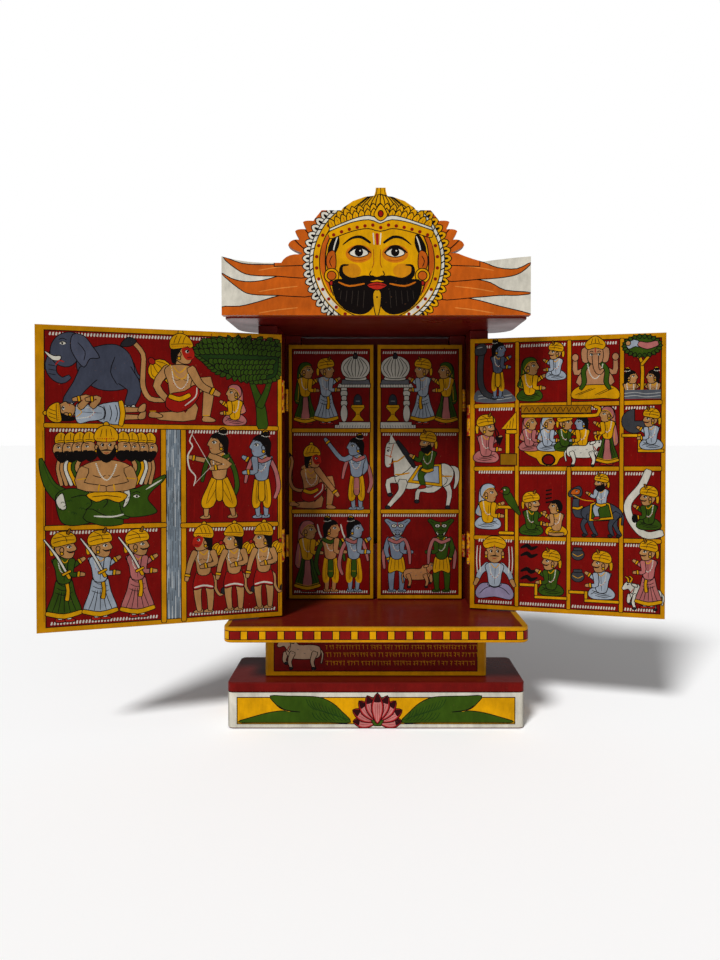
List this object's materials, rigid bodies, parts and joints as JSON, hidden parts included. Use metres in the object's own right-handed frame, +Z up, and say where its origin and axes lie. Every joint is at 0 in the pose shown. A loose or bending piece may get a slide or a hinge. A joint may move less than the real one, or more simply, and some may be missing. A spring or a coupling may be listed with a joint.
{
  "type": "folding shrine box",
  "caption": "Painted wooden shrine cabinet with folding outer doors, inner sanctum doors, a cut-out sun-face crown, a shelf and a stepped plinth.",
  "frame": {"origin": "centre of the plinth's underside, on the surface it stands on", "axes": "+Z up, -Y towards the viewer and the open doors, +X to the viewer's right"},
  "size_m": [0.5939, 0.1699, 0.5173],
  "materials": {
    "red_lacquer": "glossy red paint with mustard borders",
    "door_paint": "painted picture panels, satin varnish",
    "crown_paint": "painted orange, yellow and white, satin varnish",
    "hinge_metal": "steel butt hinges painted over"
  },
  "bodies": {
    "cabinet": {"plinth": "red_lacquer", "pedestal_block": "red_lacquer", "shelf_board": "red_lacquer", "left_wall": "red_lacquer", "right_wall": "red_lacquer", "left_post": "red_lacquer", "right_post": "red_lacquer", "sanctum_step": "red_lacquer", "back_panel": "red_lacquer", "roof_board": "red_lacquer", "crown_board": "crown_paint", "left_door_hinge_1_frame_leaf": "hinge_metal", "left_door_hinge_2_frame_leaf": "hinge_metal", "right_door_hinge_1_frame_leaf": "hinge_metal", "right_door_hinge_2_frame_leaf": "hinge_metal", "left_inner_door_hinge_1_frame_leaf": "hinge_metal", "left_inner_door_hinge_2_frame_leaf": "hinge_metal", "right_inner_door_hinge_1_frame_leaf": "hinge_metal", "right_inner_door_hinge_2_frame_leaf": "hinge_metal"},
    "left_door": {"left_door_board": "door_paint", "left_door_hinge_1_door_leaf": "hinge_metal", "left_door_hinge_2_door_leaf": "hinge_metal"},
    "right_door": {"right_door_board": "door_paint", "right_door_hinge_1_door_leaf": "hinge_metal", "right_door_hinge_2_door_leaf": "hinge_metal"},
    "left_inner_door": {"left_inner_door_board": "door_paint", "left_inner_door_hinge_1_door_leaf": "hinge_metal", "left_inner_door_hinge_2_door_leaf": "hinge_metal"},
    "right_inner_door": {"right_inner_door_board": "door_paint", "right_inner_door_hinge_1_door_leaf": "hinge_metal", "right_inner_door_hinge_2_door_leaf": "hinge_metal"}
  },
  "joints": [
    {"name": "left_door_hinge", "type": "hinge", "parent": "cabinet", "child": "left_door", "pos_m": [-0.0938, -0.014, 0.1046], "axis": [0, 0, -1], "range_deg": [-163.3, 15]},
    {"name": "right_door_hinge", "type": "hinge", "parent": "cabinet", "child": "right_door", "pos_m": [0.0982, 0.018, 0.1046], "axis": [0, 0, 1], "range_deg": [-166, 12]},
    {"name": "left_inner_door_hinge", "type": "hinge", "parent": "cabinet", "child": "left_inner_door", "pos_m": [-0.0973, 0.051, 0.1046], "axis": [0, 0, -1], "range_deg": [0, 14]},
    {"name": "right_inner_door_hinge", "type": "hinge", "parent": "cabinet", "child": "right_inner_door", "pos_m": [0.0973, 0.051, 0.1046], "axis": [0, 0, 1], "range_deg": [0, 14]}
  ]
}
